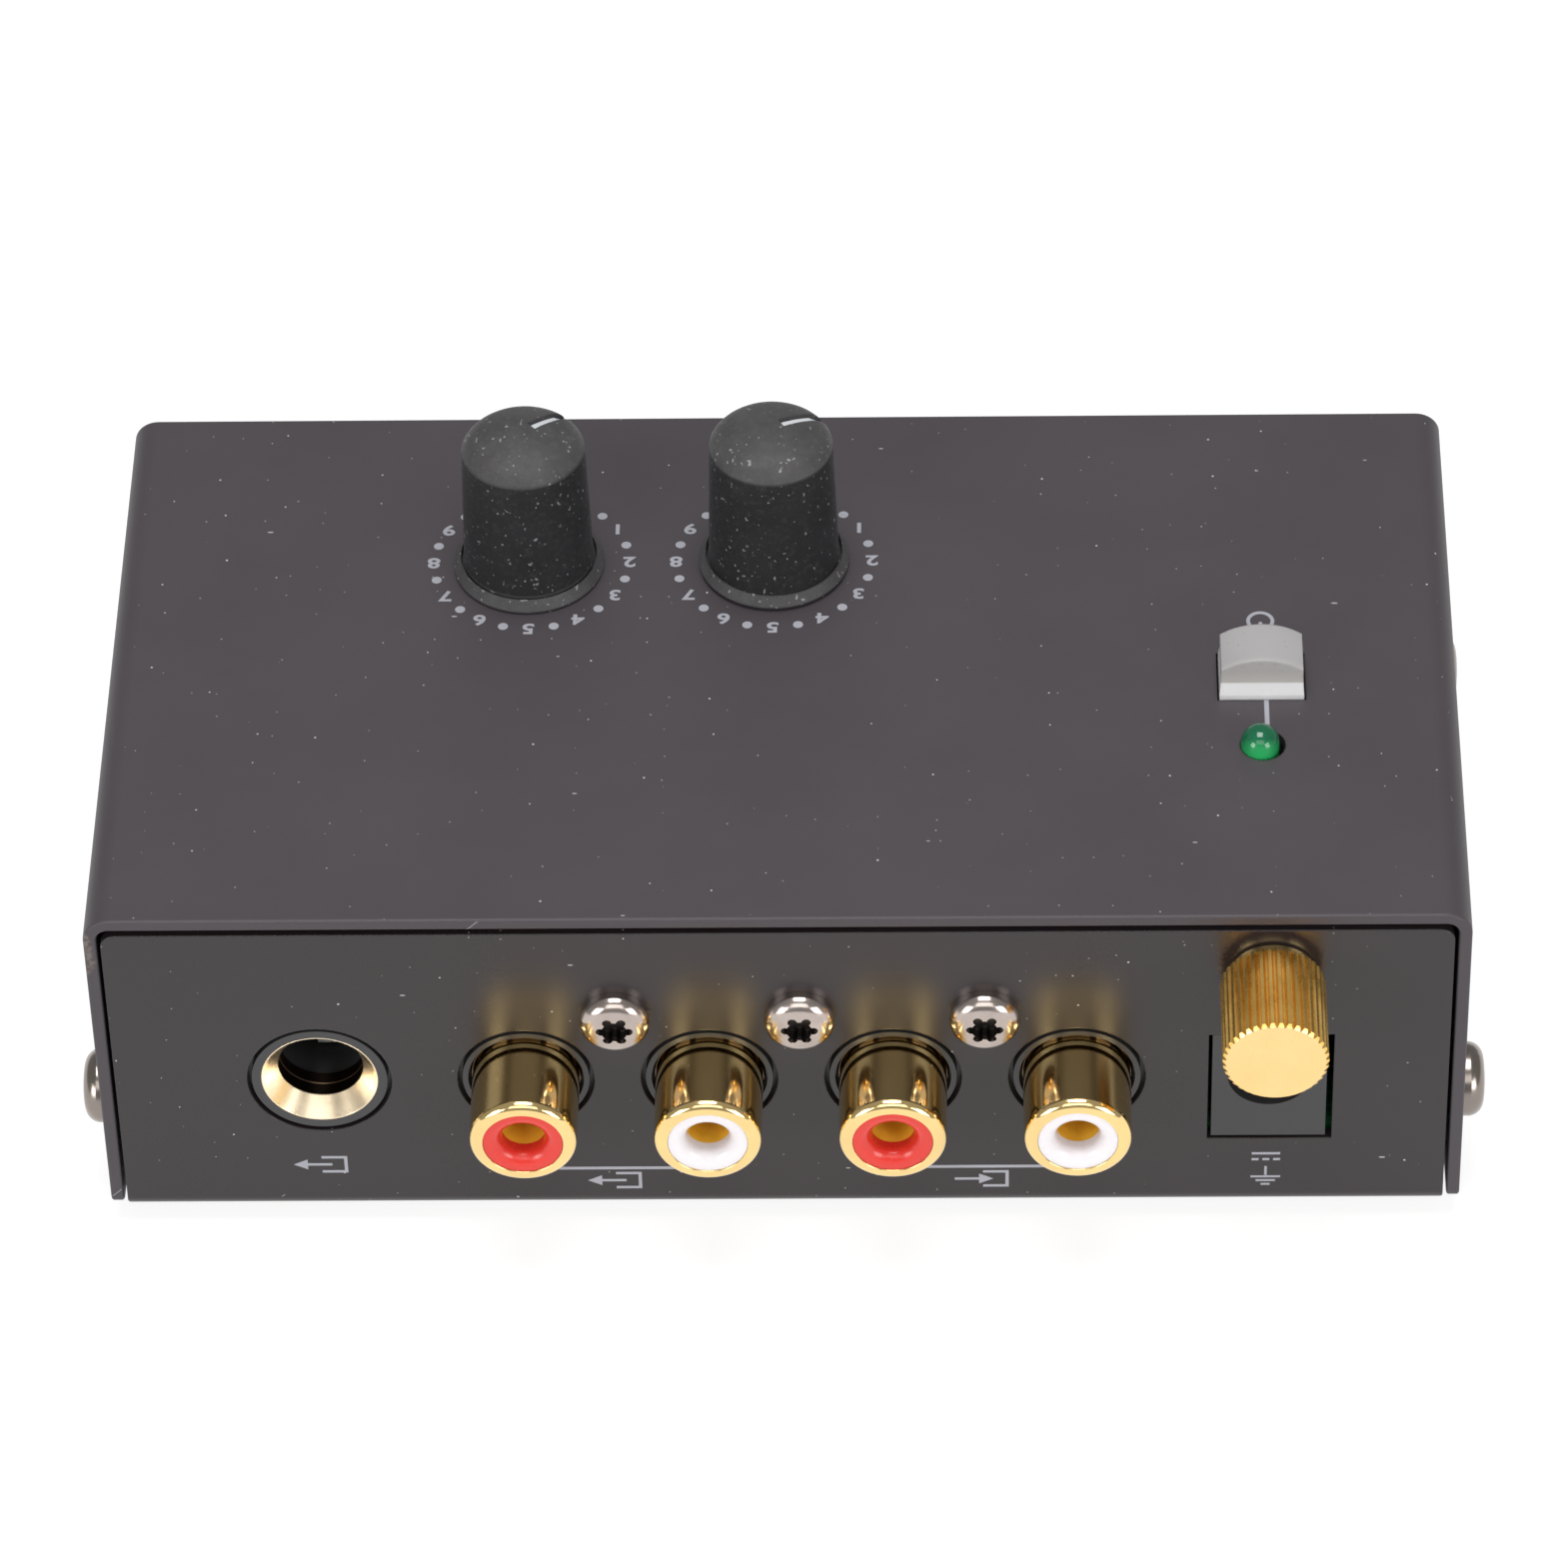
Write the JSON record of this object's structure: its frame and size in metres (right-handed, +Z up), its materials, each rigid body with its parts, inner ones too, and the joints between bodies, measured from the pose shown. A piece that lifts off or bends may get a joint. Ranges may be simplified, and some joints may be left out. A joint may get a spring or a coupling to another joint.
{
  "type": "phono preamp",
  "caption": "Small desktop phono preamp in a folded sheet case with two dial knobs, a push power switch and lamp on top, and phono, jack, power and earth terminals behind.",
  "frame": {"origin": "under the middle of the whole outline, on the surface that the feet rest on", "axes": "+Z up, the user side of the case faces -Y, the sockets are on +Y, +X to the user's right"},
  "size_m": [0.1088, 0.0668, 0.047],
  "materials": {
    "cover_paint": "satin dark grey powder coat",
    "panel_paint": "semi-gloss dark grey paint",
    "steel_screw": "nickel plated",
    "dark_steel": "zinc plated",
    "gold_plate": "polished gold plating",
    "brass": "turned brass",
    "tin": "tinned",
    "foot_rubber": "matte",
    "board": "green solder mask",
    "moulded_black": "semi-gloss moulding",
    "insert_red": "gloss",
    "insert_white": "gloss",
    "knob_rubber": "soft-touch matte",
    "pointer": "pale grey",
    "pot_metal": "plain",
    "button_grey": "smooth light grey",
    "plunger_white": "matte",
    "spring_steel": "plain",
    "lamp_green": "tinted clear resin, unlit",
    "chip_black": "matte",
    "can_sleeve": "dark sleeve",
    "film_box": "dipped",
    "resistor_body": "lacquered"
  },
  "bodies": {
    "case": {"base_chassis": "panel_paint", "top_cover": "cover_paint", "cover_screws": "steel_screw", "board_screws": "dark_steel", "socket_block_screws": "steel_screw", "board_studs": "dark_steel", "rubber_feet": "foot_rubber", "circuit_board": "board", "phono_socket_block": "moulded_black", "phono_barrels": "gold_plate", "phono_inserts_red": "insert_red", "phono_inserts_white": "insert_white", "phono_contacts": "gold_plate", "output_jack_body": "moulded_black", "output_jack_bush": "gold_plate", "output_jack_springs": "tin", "power_inlet_body": "moulded_black", "power_inlet_pin": "tin", "power_inlet_spring": "tin", "earth_bush": "brass", "volume_pot_body": "pot_metal", "level_pot_body": "pot_metal", "power_switch_body": "moulded_black", "power_switch_spring": "spring_steel", "power_lamp": "lamp_green", "power_lamp_leads": "tin", "power_lamp_spacer": "moulded_black", "amplifier_chips": "chip_black", "electrolytic_capacitors": "can_sleeve", "film_capacitors": "film_box", "resistors": "resistor_body", "voltage_regulator": "chip_black", "polarity_diode": "chip_black", "pot_terminals": "tin"},
    "volume_control": {"volume_knob": "knob_rubber", "volume_pointer": "pointer", "volume_pot_shaft": "pot_metal"},
    "level_control": {"level_knob": "knob_rubber", "level_pointer": "pointer", "level_pot_shaft": "pot_metal"},
    "power_button": {"power_button_cap": "button_grey", "power_switch_plunger": "plunger_white"},
    "earth_washer_slide": {"earth_washer": "gold_plate"},
    "earth_screw": {"earth_thumb_screw": "gold_plate"}
  },
  "joints": [
    {"name": "volume_turn", "type": "hinge", "parent": "case", "child": "volume_control", "pos_m": [0.02, -0.0159, 0.033], "axis": [0, 0, -1], "range_deg": [0, 270]},
    {"name": "level_turn", "type": "hinge", "parent": "case", "child": "level_control", "pos_m": [0.00068, -0.01608, 0.033], "axis": [0, 0, -1], "range_deg": [-13, 257]},
    {"name": "power_press", "type": "slide", "parent": "case", "child": "power_button", "axis": [0, 0, -1], "range_m": [0, 0.0025], "stiffness_N_per_m": 600, "springref_m": -0.002, "deforming": ["power_switch_spring"]},
    {"name": "earth_unscrew_out", "type": "slide", "parent": "case", "child": "earth_washer_slide", "axis": [0, 1, 0], "range_m": [0, 0.0021]},
    {"name": "earth_unscrew_turn", "type": "hinge", "parent": "earth_washer_slide", "child": "earth_screw", "pos_m": [-0.0375, 0.0241, 0.0267], "axis": [0, 1, 0], "range_deg": [0, 1080.2]}
  ],
  "couplings": [
    {"joint": "earth_unscrew_turn", "follows": "earth_unscrew_out", "rad_per_m": 8976}
  ]
}
